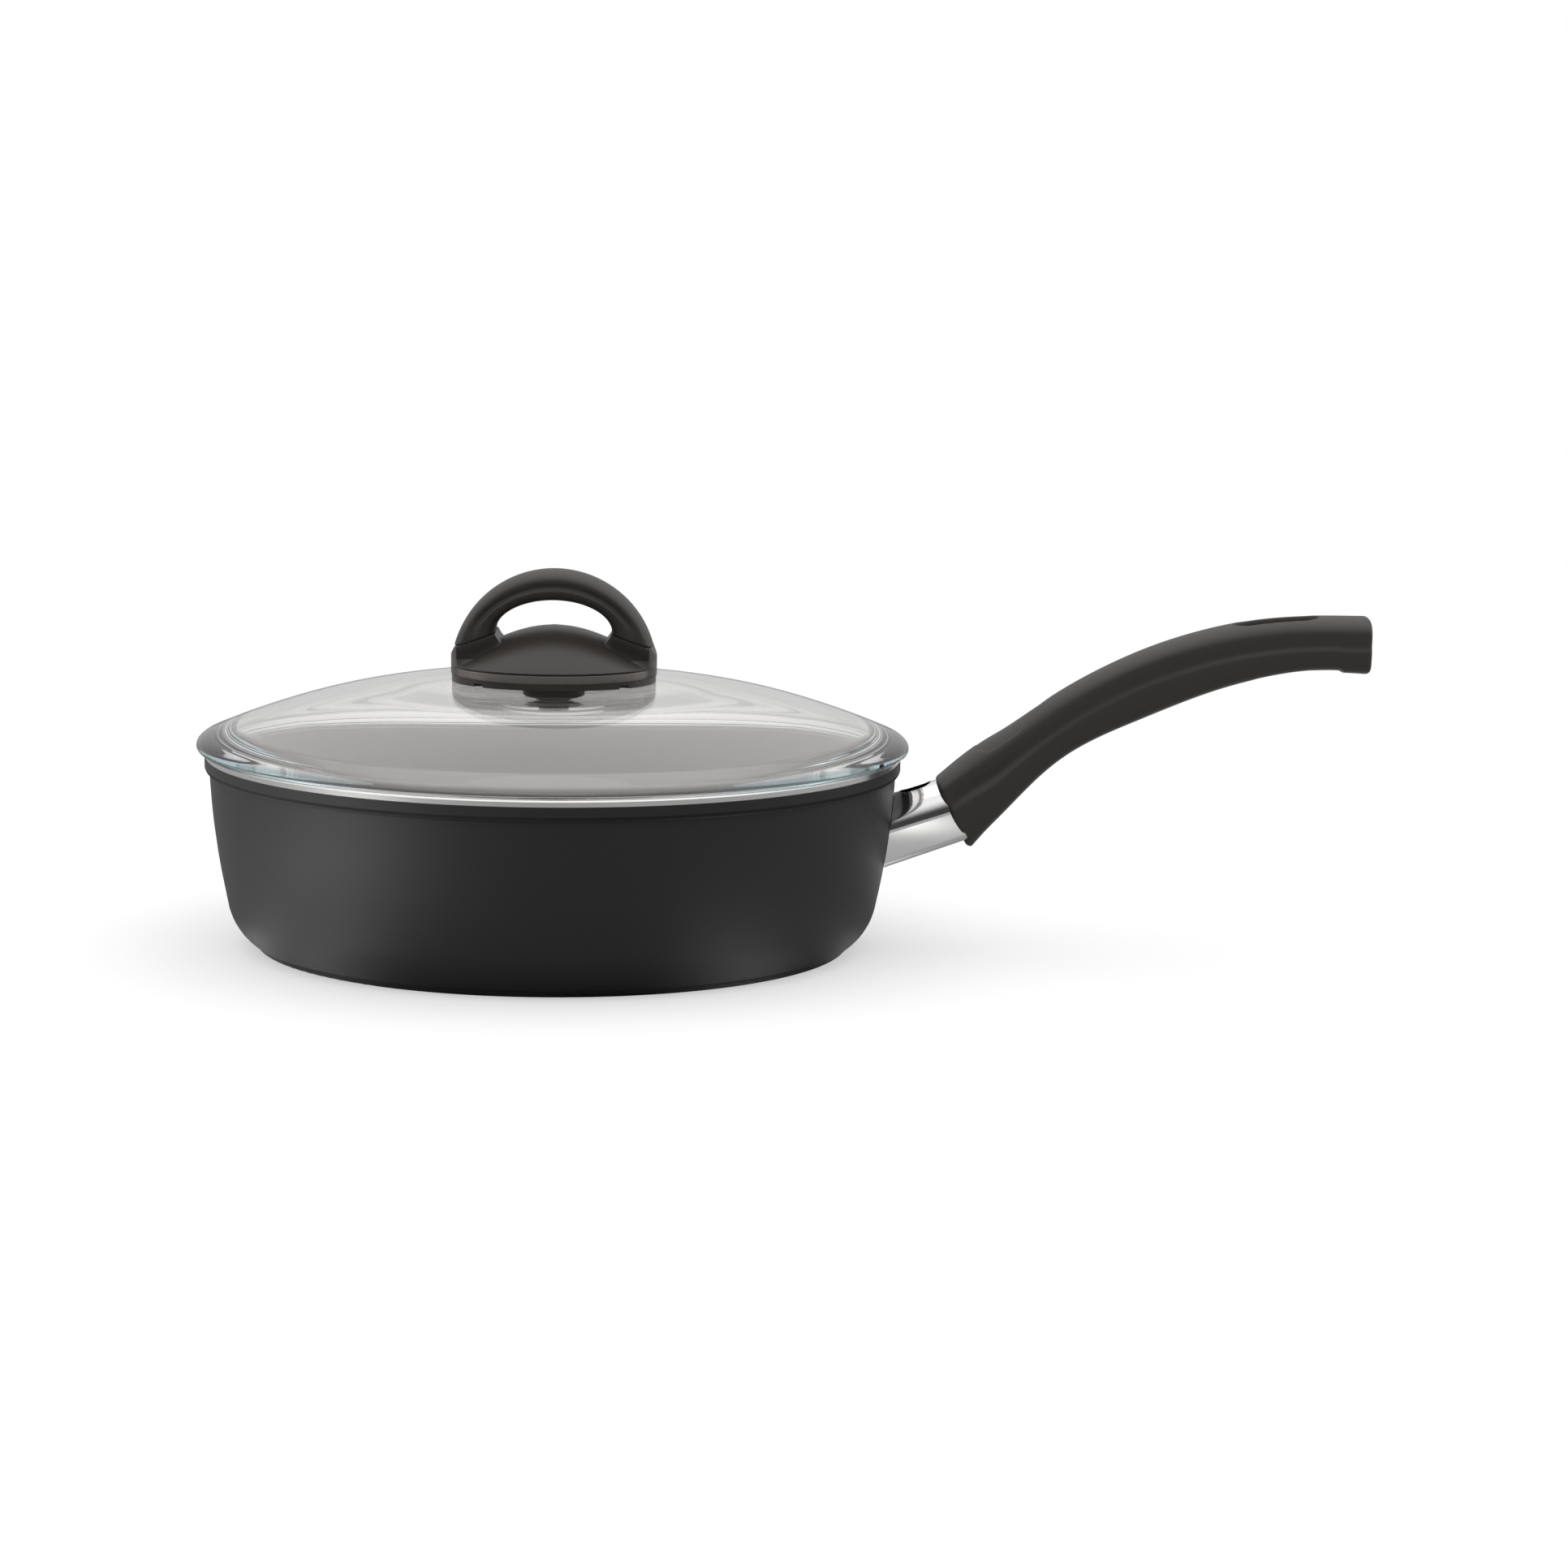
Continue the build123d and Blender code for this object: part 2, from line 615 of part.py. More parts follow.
def knob_base():
    """The knob's base: a hollow oval dome with a boss for the lid's screw and two lugs."""
    outside, inside = knob_shell()
    low = knob_band_levels()[0]
    body = outside + knob_lug(1) + knob_lug(-1)
    posts = []
    for side in (1, -1):
        joint, direction = arch_screw_line(side)
        posts.append(rod(joint - direction * overrun / 2, -direction, knob_post_radius,
                         knob_post_length))
    boss = rod(side_point(0, low - overrun), Vector(0, 0, 1), knob_boss_radius,
               overrun + knob_crest_z - low - knob_wall)
    cavity = inside - boss
    for post in posts:
        cavity = cavity - post
    body = body - cavity
    for side in (1, -1):
        joint, direction = arch_screw_line(side)
        body = body - rod(joint + direction * overrun, -direction,
                          arch_screw_radius + metal_clearance, knob_post_length + 2 * overrun)
    insert_hole = rod(side_point(0, low - overrun), Vector(0, 0, 1),
                      knob_insert_radius + metal_clearance, overrun + knob_insert_length)
    return body - insert_hole


def knob_base_plate():
    """The oval frame under the base, shaped to the glass, with small notches in its edge."""
    top = knob_plate_z + knob_plate_height
    bottom = knob_plate_z - overrun
    frame = oval_prism(knob_plate_inset, bottom, top) - oval_prism(
        knob_plate_inset + knob_plate_width, bottom - overrun, top + overrun)
    notch = Box(knob_plate_notch_width, knob_half_depth, knob_plate_notch_height + overrun)
    x = knob_plate_notch_x
    y = knob_half_depth * math.sqrt(1 - (x / knob_half_length) ** 2)
    y = y - knob_plate_notch_depth + knob_half_depth / 2
    z = knob_plate_z + (knob_plate_notch_height - overrun) / 2
    for place in (Pos(x, y, z), Pos(x, -y, z), Pos(-x, y, z), Pos(-x, -y, z)):
        frame = frame - place * notch
    return frame - under_glass(-metal_clearance)


def knob_arch():
    """The knob's arch: the handle's cross-section carried round from foot to foot."""
    drop = foot_normal() * arch_foot_extra
    half = [(side_point(arch_foot_outer_x, arch_foot_outer_z) - drop,
             side_point(arch_foot_inner_x, arch_foot_inner_z) - drop, arch_foot_half_width)]
    for angle, opening_angle in zip(arch_angles, arch_opening_angles):
        turn = math.radians(angle)
        opening_turn = math.radians(opening_angle)
        half.append((side_point(knob_half_length * math.cos(turn),
                                arch_centre_z + knob_half_length * math.sin(turn)),
                     side_point(arch_opening_half_width * math.cos(opening_turn),
                                arch_opening_z + arch_opening_height * math.sin(opening_turn)),
                     arch_half_width + (arch_foot_half_width - arch_half_width) * math.cos(turn)))
    stations = half + [(side_point(-a.X, a.Z), side_point(-b.X, b.Z), w) for a, b, w in half[-2::-1]]
    sections = [handle_section(outer, inner, width, arch_crease_share)
                for outer, inner, width in stations]
    body = Part(Solid.make_loft(sections).wrapped)
    for side in (1, -1):
        joint, direction = arch_screw_line(side)
        keep = above_joint(side, arch_joint_gap)
        foot_zone = extrude(Plane(origin=joint, z_dir=direction) * Rectangle(
            knob_half_length / 2 + 2 * overrun, 2 * knob_half_length), amount=-knob_half_length)
        body = body - (foot_zone - keep)
        body = body - rod(joint - direction * overrun, direction,
                          arch_screw_radius + metal_clearance, arch_screw_reach + 2 * overrun)
    return body


def knob_arch_screws():
    screws = []
    for side in (1, -1):
        joint, direction = arch_screw_line(side)
        post_end = joint - direction * (knob_post_length + overrun / 2)
        screws.append(socket_screw(post_end, direction, arch_screw_radius,
                                   knob_post_length + overrun / 2 + arch_screw_reach,
                                   arch_screw_head_radius, arch_screw_head_height,
                                   arch_screw_drive))
    return Compound(children=screws)


def knob_insert():
    start = side_point(0, glass_crown_z + seat_seal_thickness)
    return tube(start, Vector(0, 0, 1), knob_insert_radius, knob_screw_radius + metal_clearance,
                knob_insert_length)


def knob_seat_seal():
    """The soft washer between the glass and the knob's boss."""
    bottom = glass_crown_z - seat_seal_thickness
    ring = tube(side_point(0, bottom), Vector(0, 0, 1), seat_seal_radius,
                knob_screw_radius + metal_clearance, 2 * seat_seal_thickness)
    return ring - under_glass(-metal_clearance)


def knob_lower_seal():
    """The soft washer under the glass, shaped to the dome."""
    top = glass_crown_z - glass_thickness
    ring = tube(side_point(0, top), Vector(0, 0, -1), lower_seal_radius,
                knob_screw_radius + metal_clearance, metal_clearance + lower_seal_thickness)
    return ring & under_glass(glass_thickness + metal_clearance)


def knob_washer():
    top = glass_crown_z - glass_thickness - metal_clearance - lower_seal_thickness
    return tube(side_point(0, top), Vector(0, 0, -1), knob_washer_radius,
                knob_screw_radius + metal_clearance, knob_washer_thickness)


def knob_screw():
    stack = metal_clearance + lower_seal_thickness + knob_washer_thickness
    seat = glass_crown_z - glass_thickness - stack
    through = stack + glass_thickness + seat_seal_thickness
    return socket_screw(side_point(0, seat), Vector(0, 0, 1), knob_screw_radius,
                        through + knob_screw_reach, knob_screw_head_radius,
                        knob_screw_head_height, knob_screw_drive)


os.makedirs("parts", exist_ok=True)
for make in (pan_body, handle_insert, flame_guard, handle_grip, handle_washer, handle_lock_washer,
             handle_screw, lid_glass, knob_base, knob_base_plate, knob_arch, knob_arch_screws,
             knob_insert, knob_seat_seal, knob_lower_seal, knob_washer, knob_screw):
    shape = make()
    export_step(shape, f"parts/{make.__name__}.step")
    print(make.__name__, round(shape.volume))
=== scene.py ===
# A saute pan with a glass lid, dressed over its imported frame. Metres, +Z up, +X to the grip.
import math
import bmesh
import bpy
import numpy as np
from mathutils import Matrix, Vector


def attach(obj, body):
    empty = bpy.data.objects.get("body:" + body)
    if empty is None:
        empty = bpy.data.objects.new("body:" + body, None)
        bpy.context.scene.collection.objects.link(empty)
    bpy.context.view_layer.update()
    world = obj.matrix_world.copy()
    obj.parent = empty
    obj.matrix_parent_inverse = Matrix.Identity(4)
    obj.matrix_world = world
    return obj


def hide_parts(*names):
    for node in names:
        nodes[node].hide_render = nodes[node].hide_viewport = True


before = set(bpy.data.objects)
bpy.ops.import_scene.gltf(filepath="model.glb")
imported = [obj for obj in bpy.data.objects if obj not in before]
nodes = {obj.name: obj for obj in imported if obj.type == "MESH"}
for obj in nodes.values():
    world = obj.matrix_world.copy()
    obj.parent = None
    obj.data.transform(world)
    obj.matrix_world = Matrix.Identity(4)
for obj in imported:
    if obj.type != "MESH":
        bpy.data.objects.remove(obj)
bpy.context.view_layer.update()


# Shader building. A Signal is a socket that can stand in sums, products and comparisons.
class Signal:
    def __init__(self, shader, socket):
        self.shader = shader
        self.socket = socket

    def __add__(self, other):
        return self.shader.math("ADD", self, other)

    def __radd__(self, other):
        return self.shader.math("ADD", other, self)

    def __sub__(self, other):
        return self.shader.math("SUBTRACT", self, other)

    def __rsub__(self, other):
        return self.shader.math("SUBTRACT", other, self)

    def __mul__(self, other):
        return self.shader.math("MULTIPLY", self, other)

    def __rmul__(self, other):
        return self.shader.math("MULTIPLY", other, self)

    def __truediv__(self, other):
        return self.shader.math("DIVIDE", self, other)

    def __rtruediv__(self, other):
        return self.shader.math("DIVIDE", other, self)

    def __gt__(self, other):
        return self.shader.math("GREATER_THAN", self, other)

    def __lt__(self, other):
        return self.shader.math("LESS_THAN", self, other)


class Shader:
    def __init__(self, name, tree=None):
        if tree is None:
            self.material = bpy.data.materials.new(name)
            self.material.use_nodes = True
            tree = self.material.node_tree
        self.tree = tree
        self.bsdf = tree.nodes.get("Principled BSDF")

    # One node of any type: settings are its properties, sockets its inputs by name or number.
    def node(self, kind, settings=None, sockets=None, out=0):
        made = self.tree.nodes.new(kind)
        for key, value in (settings or {}).items():
            setattr(made, key, value)
        for key, value in (sockets or {}).items():
            self.feed(made.inputs[key], value)
        return Signal(self, made.outputs[out])

    def feed(self, socket, value):
        if isinstance(value, Signal):
            self.tree.links.new(value.socket, socket)
        else:
            socket.default_value = value

    def math(self, operation, first, second=0.0, clamp=False):
        return self.node("ShaderNodeMath", {"operation": operation, "use_clamp": clamp},
                         {0: first, 1: second})

    def mix(self, factor, first, second):
        return self.node("ShaderNodeMix", {"data_type": "RGBA"},
                         {0: factor, 6: first, 7: second}, out=2)

    # 0 below low, 1 above high, and a smooth step between.
    def step(self, value, low, high):
        return self.node("ShaderNodeMapRange", {"interpolation_type": "SMOOTHSTEP"},
                         {0: value, 1: low, 2: high})

    def noise(self, scale, detail=3.0, roughness=0.5):
        return self.node("ShaderNodeTexNoise", None, {
            "Vector": self.place(), "Scale": scale, "Detail": detail, "Roughness": roughness})

    def place(self):
        return self.node("ShaderNodeTexCoord", out=3)

    # x, y, z and the distance from the pan's axis.
    def coordinates(self):
        split = self.node("ShaderNodeSeparateXYZ", None, {0: self.place()})
        x, y, z = [Signal(self, s) for s in split.socket.node.outputs]
        return x, y, z, self.math("SQRT", x * x + y * y)

    def bump(self, height, strength, distance):
        return self.node("ShaderNodeBump", None, {
            "Height": height, "Strength": strength, "Distance": distance})

    def surface(self, **inputs):
        for key, value in inputs.items():
            self.feed(self.bsdf.inputs[key.replace("_", " ")], value)
        return self.material


# A grey of a given brightness. Warm leans it to brown, rosy to pink.
def grey(level, warm=0.0, rosy=0.0):
    return (level * (1 + warm + rosy), level * (1 - rosy / 2), level * (1 - warm - rosy / 2), 1.0)


def setMaterial(node, material):
    mesh = nodes[node].data
    mesh.materials.clear()
    mesh.materials.append(material)


# Meshes. Lengths in the dictionaries below are millimetres; makePiece turns them into metres,
# merges points that coincide at seams and poles, and turns the faces outwards.
def makePiece(name, points, quads, material, body, *replaced):
    points, quads = np.asarray(points).reshape(-1, 3), np.asarray(quads).reshape(-1, 4)
    mesh = bpy.data.meshes.new(name)
    mesh.from_pydata((points * 0.001).tolist(), [], quads.tolist())
    work = bmesh.new()
    work.from_mesh(mesh)
    bmesh.ops.remove_doubles(work, verts=work.verts, dist=2e-6)
    bmesh.ops.dissolve_degenerate(work, edges=work.edges, dist=1e-7)
    bmesh.ops.delete(work, geom=[v for v in work.verts if not v.link_faces], context="VERTS")
    bmesh.ops.recalc_face_normals(work, faces=work.faces)
    for face in work.faces:
        face.smooth = True
    work.to_mesh(mesh)
    work.free()
    mesh.materials.append(material)
    piece = bpy.data.objects.new(name, mesh)
    bpy.context.collection.objects.link(piece)
    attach(piece, body)
    for node in replaced:
        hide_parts(node)
    return piece


# The quads between neighbouring rows and neighbouring columns of a grid, closed where asked.
def gridQuads(rows, columns, closed=False):
    across = np.arange(columns if closed else columns - 1)
    row, column = np.meshgrid(np.arange(rows - 1), across, indexing="ij")
    after = (column + 1) % columns
    return np.stack([row * columns + column, row * columns + after,
                     (row + 1) * columns + after, (row + 1) * columns + column], axis=-1)


# A smooth step from 0 at low to 1 at high: 3t^2 - 2t^3.
def ease(value, low, high):
    t = np.clip((value - low) / (high - low), 0, 1)
    return t * t * (3 - 2 * t)


# The natural cubic spline through the values at the given places.
def throughValues(places, values, at):
    places, values, at = (np.asarray(each, float) for each in (places, values, at))
    gap = np.diff(places)
    slope = np.diff(values) / gap
    system, right = np.eye(len(places)), np.zeros(len(places))
    inner = np.arange(1, len(places) - 1)
    system[inner, inner - 1], system[inner, inner + 1] = gap[:-1], gap[1:]
    system[inner, inner] = 2 * (gap[:-1] + gap[1:])
    right[inner] = 6 * np.diff(slope)
    bend = np.linalg.solve(system, right)
    span = np.clip(np.searchsorted(places, at) - 1, 0, len(gap) - 1)
    before = (places[span + 1] - at) / gap[span]
    after = 1 - before
    curve = (before ** 3 - before) * bend[span] + (after ** 3 - after) * bend[span + 1]
    return before * values[span] + after * values[span + 1] + curve * gap[span] ** 2 / 6


# Half of a handle's cross-section from its crown down to its keel, for each station: shares of the
# half width and of the height. A uniform cubic B-spline over control points that round the crown,
# draw in to the flute's waist, stand out again at the crease and close under the keel. The first
# and last spans are mirrored, so both halves meet smoothly.
def handleOutline(crease, waist, samples):
    crease, waist = crease[:, None], waist[:, None]
    crown = 0.7 - crease
    shares = [(0, 1), (0.4, 1), (0.78, 1 - 0.2 * crown), (0.96, 1 - 0.58 * crown),
              (1, 1 - 0.95 * crown), (0.5 + waist / 2, crease + 0.2), (waist, crease + 0.11),
              (0.98, crease + 0.035), (1.01, crease - 0.02), (0.975, crease * 0.72),
              (0.92, crease * 0.42), (0.8, crease * 0.14), (0.46, 0), (0, 0)]
    width = np.hstack([w + 0 * crease for w, h in shares])
    height = np.hstack([h + 0 * crease for w, h in shares])
    width = np.hstack([-width[:, 1:2], width, -width[:, -2:-1]])
    height = np.hstack([height[:, 1:2], height, height[:, -2:-1]])
    place = np.linspace(0, len(shares) - 1, samples)
    start = np.minimum(place.astype(int), len(shares) - 2)
    t = place - start
    weights = [(1 - t) ** 3, 3 * t ** 3 - 6 * t ** 2 + 4,
               -3 * t ** 3 + 3 * t ** 2 + 3 * t + 1, t ** 3]
    return [sum(w * side[:, start + k] for k, w in enumerate(weights)) / 6
            for side in (width, height)]


# Rows of points across a handle's half from rounded end to rounded end. Each station's outline runs
# between its top and bottom point. The end rows shrink towards the outline's middle along a quarter
# circle, and then flat to a single point.
def handleRows(top, bottom, halfWidth, width, height, endRound):
    rows = bottom[:, None] + (top - bottom)[:, None] * height[..., None]
    rows[..., 1] += width * halfWidth[:, None]
    ends = []
    for edge, inner in ((0, 1), (-1, -2)):
        middle = (top[edge] + bottom[edge]) / 2
        outward = np.cross(top[edge] - bottom[edge], (0, 1, 0))
        outward = outward / np.linalg.norm(outward)
        outward = outward * np.sign(outward @ (middle - (top[inner] + bottom[inner]) / 2))
        turn = np.radians([15, 30, 45, 60, 75, 90])
        inset = np.append(endRound * (1 - np.cos(turn)), [0.4 * halfWidth[edge], halfWidth[edge]])
        depth = np.append(endRound * np.sin(turn), [endRound, endRound])
        shrink = 1 - inset / halfWidth[edge]
        ring = middle + (rows[edge] - middle) * shrink[:, None, None]
        ends.append(ring + outward * depth[:, None, None])
    return np.concatenate([ends[0][::-1], rows, ends[1]])


# Both halves of a handle as one closed skin. Columns past the outline are the slot's wall.
def mirroredSkin(rows, outlineCount, wallShown):
    quads = gridQuads(len(rows), rows.shape[1], closed=True)
    keep = np.ones(quads.shape[:2], bool)
    keep[:, outlineCount - 1:] = wallShown[:, None]
    quads = quads[keep]
    points = rows.reshape(-1, 3)
    mirrored = quads[:, ::-1] + len(points)
    return np.vstack([points, points * (1, -1, 1)]), np.vstack([quads, mirrored])


# Studio: white all round for what the camera sees directly or through glass, and a graded room
# of soft light for reflections and shading.
studio = {"topLevel": 0.95, "sideLevel": 0.6, "frontLevel": 0.05, "fillLow": 0.25, "fillTop": 1.45,
          "whiteThroughGlass": 0.6, "deepAfter": 4.5, "deepLoss": 0.75,
          "floorReach": 6.0, "floorBounce": 0.3, "floorGlow": 0.5, "glowFrom": 0.4, "glowTo": 1.2,
          # Each lamp: name, place, what it points at, size and power.
          "lamps": [("overheadBox", (0.1, 0.2, 1.5), (0.1, 0.0, 0.05), (1.8, 1.4), 3.0),
                    ("leftBox", (-1.45, 0.0, 0.6), (0.0, 0.0, 0.04), (0.5, 0.6), 1.6),
                    ("rightBox", (1.6, 0.5, 0.6), (0.1, 0.0, 0.05), (0.5, 0.8), 1.5)],
          # Glowing cards on the floor, for reflections alone: place, reach and brightness.
          "cards": [(-0.27, -0.19, 0.105, 5.4), (0.24, 0.22, 0.08, 2.0), (-0.135, -0.05, 0.025, 0.9),
                    (-0.11, -0.11, 0.03, 1.2), (0.135, -0.03, 0.025, 0.5), (0.1, -0.115, 0.03, 1.0),
                    (0.149, -0.345, 0.024, 1.2), (0.178, -0.4, 0.024, 0.2)]}


# The room's brightness runs smoothly from the sides to the front and then to the top, by the
# direction's y and z. Diffuse rays get the fill instead, which grows with z. White takes over for
# the camera and, by its share, for rays through glass.
def makeWorld():
    world = bpy.data.worlds.new("studioRoom")
    bpy.context.scene.world = world
    world.use_nodes = True
    shader = Shader("studioRoom", world.node_tree)
    background = world.node_tree.nodes["Background"]
    background.inputs["Color"].default_value = grey(1.0)
    direction = shader.node("ShaderNodeTexCoord", out=0)
    split = shader.node("ShaderNodeSeparateXYZ", None, {0: direction}).socket.node.outputs
    y, z = Signal(shader, split[1]), Signal(shader, split[2])
    front = shader.step(0.0 - y, -0.2, 0.8)
    level = studio["sideLevel"] + (studio["frontLevel"] - studio["sideLevel"]) * front
    level = level + (studio["topLevel"] - level) * shader.step(z, 0.25, 0.75)
    fill = studio["fillLow"] + (studio["fillTop"] - studio["fillLow"]) * shader.step(z, 0.1, 0.8)
    rays = shader.node("ShaderNodeLightPath").socket.node.outputs
    seen = Signal(shader, rays["Is Camera Ray"])
    seen = seen + studio["whiteThroughGlass"] * Signal(shader, rays["Is Transmission Ray"])
    diffuse = Signal(shader, rays["Is Diffuse Ray"])
    level = level + (fill - level) * diffuse
    seen = shader.math("MINIMUM", seen, 1.0)
    # Light that has gone far through the thick rim comes out darker.
    deep = Signal(shader, rays["Transmission Depth"]) > studio["deepAfter"]
    seen = seen - studio["deepLoss"] * deep * seen
    strength = level + (1.0 - level) * seen
    world.node_tree.links.new(strength.socket, background.inputs["Strength"])


def makeLight(name, place, target, size, power):
    data = bpy.data.lights.new(name, "AREA")
    data.shape = "RECTANGLE"
    data.size, data.size_y = size
    data.energy = power
    lamp = bpy.data.objects.new(name, data)
    bpy.context.collection.objects.link(lamp)
    lamp.location = place
    lamp.rotation_euler = (Vector(target) - Vector(place)).to_track_quat("-Z", "Y").to_euler()


# A pale square. What the camera sees of it fades to white by the distance from the pan's axis. A
# card glows by its power times e to the minus square of distance over reach.
def makeFloor():
    mesh = bpy.data.meshes.new("floor")
    reach = studio["floorReach"]
    mesh.from_pydata([(-reach, -reach, 0), (reach, -reach, 0), (reach, reach, 0),
                      (-reach, reach, 0)], [], [(0, 1, 2, 3)])
    floor = bpy.data.objects.new("floor", mesh)
    bpy.context.collection.objects.link(floor)
    shader = Shader("paleFloor")
    x, y, z, radius = shader.coordinates()
    rays = shader.node("ShaderNodeLightPath").socket.node.outputs
    seen = shader.math("MAXIMUM", Signal(shader, rays["Is Camera Ray"]),
                       Signal(shader, rays["Is Transmission Ray"]))
    colour = shader.mix(seen, grey(studio["floorBounce"]), grey(0.9))
    cards = 0.0
    for cardX, cardY, cardReach, power in studio["cards"]:
        away = (x - cardX) * (x - cardX) + (y - cardY) * (y - cardY)
        away = away / (cardReach * cardReach)
        cards = power * shader.math("EXPONENT", 0.0 - away) + cards
    cards = cards * (1.0 - seen)
    shown = shader.node("ShaderNodeCombineXYZ", None, {0: cards, 1: cards, 2: cards})
    shader.surface(Emission_Color=shown, Emission_Strength=1.0)
    outwards = shader.step(radius, studio["glowFrom"], studio["glowTo"])
    white = studio["floorGlow"] + (1.0 - studio["floorGlow"]) * outwards
    shader.surface(Base_Color=colour, Roughness=0.9)
    glow = shader.node("ShaderNodeEmission", None, {"Color": grey(1.0), "Strength": 1.0})
    mixed = shader.node("ShaderNodeMixShader", None,
                        {0: white * seen, 1: Signal(shader, shader.bsdf.outputs[0]), 2: glow})
    shader.tree.links.new(mixed.socket, shader.tree.nodes["Material Output"].inputs["Surface"])
    mesh.materials.append(shader.material)


# The camera looks along +Y, pitched down and rolled, in degrees.
view = {"lens": 115.0, "sensor": 36.0, "place": (0.0931, -2.0, 0.3679), "pitch": 8.587, "roll": 0.7}


def makeCamera():
    data = bpy.data.cameras.new("camera")
    data.lens = view["lens"]
    data.sensor_width = view["sensor"]
    camera = bpy.data.objects.new("camera", data)
    bpy.context.collection.objects.link(camera)
    pitch, roll = math.radians(view["pitch"]), math.radians(view["roll"])
    camera.matrix_world = (Matrix.Translation(view["place"])
                           @ Matrix.Rotation(math.pi / 2 - pitch, 4, "X")
                           @ Matrix.Rotation(roll, 4, "Z"))
    bpy.context.scene.camera = camera


makeWorld()
for lamp in studio["lamps"]:
    makeLight(*lamp)
makeFloor()
makeCamera()
bpy.context.scene.view_settings.view_transform = "Standard"
print("stage: camera, light and floor are set")


# Pan casting: a dark coating outside, a paler one inside and a bare turned ring at the rim.
pan = {"bareFrom": 0.0769, "inside": grey(0.37, 0.02, 0.01), "bare": grey(0.78, 0.01),
       "wallTop": 0.1379, "wallBend": 0.000215, "wallDrop": 0.007, "floorFrom": 0.003,
       # The shaded line under the band below the rim.
       "shadeFrom": 0.0712, "shadeTo": 0.0733}


def panMaterial():
    shader = Shader("panCoating")
    x, y, z, radius = shader.coordinates()
    # The middle of the wall's thickness draws in towards the base as one over the height.
    middle = pan["wallTop"] - pan["wallBend"] / (z + pan["wallDrop"])
    inside = (radius < middle) * (z > pan["floorFrom"])
    bare = (z > pan["bareFrom"]) * (1.0 - inside)
    grain = shader.noise(1400.0, 2.0, 0.6)
    cloud = shader.noise(14.0, 3.0, 0.5)
    outside = shader.mix(cloud, grey(0.02, 0.0, 0.03), grey(0.026, 0.01, 0.04))
    colour = shader.mix(inside, outside, pan["inside"])
    colour = shader.mix(bare, colour, pan["bare"])
    shade = shader.step(z, pan["shadeFrom"], pan["shadeFrom"] + 0.001) * (1.0 - inside)
    shade = shade * (1.0 - shader.step(z, pan["shadeTo"] - 0.0005, pan["shadeTo"]))
    colour = shader.mix(0.5 * shade, colour, grey(0.005))
    roughness = 0.44 + 0.06 * cloud
    roughness = roughness + inside * 0.1 + shade * 0.4
    roughness = roughness + (0.2 - roughness) * bare
    rings = shader.math("SINE", radius * 9000.0) * bare * 0.3
    relief = grain * (1.0 - bare) + rings
    return shader.surface(Base_Color=colour, Roughness=roughness, Metallic=bare,
                          Specular_IOR_Level=0.3,
                          Normal=shader.bump(relief, 0.12, 0.00012))


def plasticMaterial(name, colour, roughness, speck):
    shader = Shader(name)
    grain = shader.noise(1500.0, 2.0, 0.7)
    cloud = shader.noise(30.0, 2.0, 0.5)
    tone = shader.mix(cloud, grey(colour * 0.92, 0.1, 0.02), grey(colour * 1.08, 0.12, 0.02))
    return shader.surface(Base_Color=tone, Roughness=roughness + 0.08 * cloud,
                          Normal=shader.bump(grain, speck, 0.0001))


# The knob base: a bronze satin, with painted sheen on the band (lighter and metallic) and painted shade
# on the flanks below the arch's feet (darker).
knobSheenAndShade = {"bandFrom": 0.1098, "bandTo": 0.1131, "bandEnd": 0.0365, "bandFade": 0.0025,
              "flankFrom": 0.117, "flankEnd": 0.019, "flankFade": 0.005,
              "flankDepth": (0.0131, 0.0168)}


def knobMaterial():
    shader = Shader("knobPlastic")
    x, y, z, radius = shader.coordinates()
    side, depth = shader.math("ABSOLUTE", x), shader.math("ABSOLUTE", y)
    low, end, flankEnd = (knobSheenAndShade[key] for key in ("bandFrom", "bandEnd", "flankEnd"))
    # Painted sheen: the band round the base's edge is made lighter and metallic.
    band = shader.step(z, low, low + 0.0003) * (z < knobSheenAndShade["bandTo"])
    band = band * (1.0 - shader.step(side, end, end + knobSheenAndShade["bandFade"]))
    # Painted shade: the lug flanks under the arch's feet are made darker, and metallic and rough so
    # that they reflect little.
    flankShade = shader.step(side, flankEnd, flankEnd + knobSheenAndShade["flankFade"])
    near, far = knobSheenAndShade["flankDepth"]
    flankShade = flankShade * (z > knobSheenAndShade["flankFrom"]) * (depth > near) * (depth < far)
    cloud = shader.noise(30.0, 2.0, 0.5)
    tone = shader.mix(cloud, grey(0.0235, 0.18, 0.01), grey(0.029, 0.19, 0.01))
    # The band's painted sheen and the flanks' painted shade go into the colour.
    tone = shader.mix(band, tone, grey(0.2, 0.07, 0.02))
    tone = shader.mix(0.65 * flankShade, tone, grey(0.005))
    return shader.surface(Base_Color=tone, Metallic=0.7 * band + 0.3 * flankShade,
                          Roughness=0.34 + 0.06 * cloud - 0.04 * band + 0.3 * flankShade,
                          Normal=shader.bump(shader.noise(1500.0, 2.0, 0.7), 0.2, 0.0001))


def steelMaterial(name, roughness):
    shader = Shader(name)
    smear = shader.noise(60.0, 3.0, 0.6)
    return shader.surface(Base_Color=grey(0.9, 0.005), Metallic=1.0,
                          Roughness=roughness + 0.04 * smear)


# Glass lets light through to what lies under it: shadow and diffuse rays pass straight. Its thick
# near rim, on the front half only, is darker: the thick glass's own tint and painted shade for the
# dark line under it, with a blue-green tint towards the sides.
glassTintAndShade = {"rimFrom": 0.14, "rimTo": 0.1428, "rimTop": 0.0845, "rimFront": -0.02,
               "sideFrom": 0.05, "sideTo": 0.1, "clear": (0.95, 0.945, 0.935, 1.0),
               "frontTintAndShade": (0.3, 0.29, 0.28, 1.0), "sideTintAndShade": (0.3, 0.45, 0.49, 1.0)}


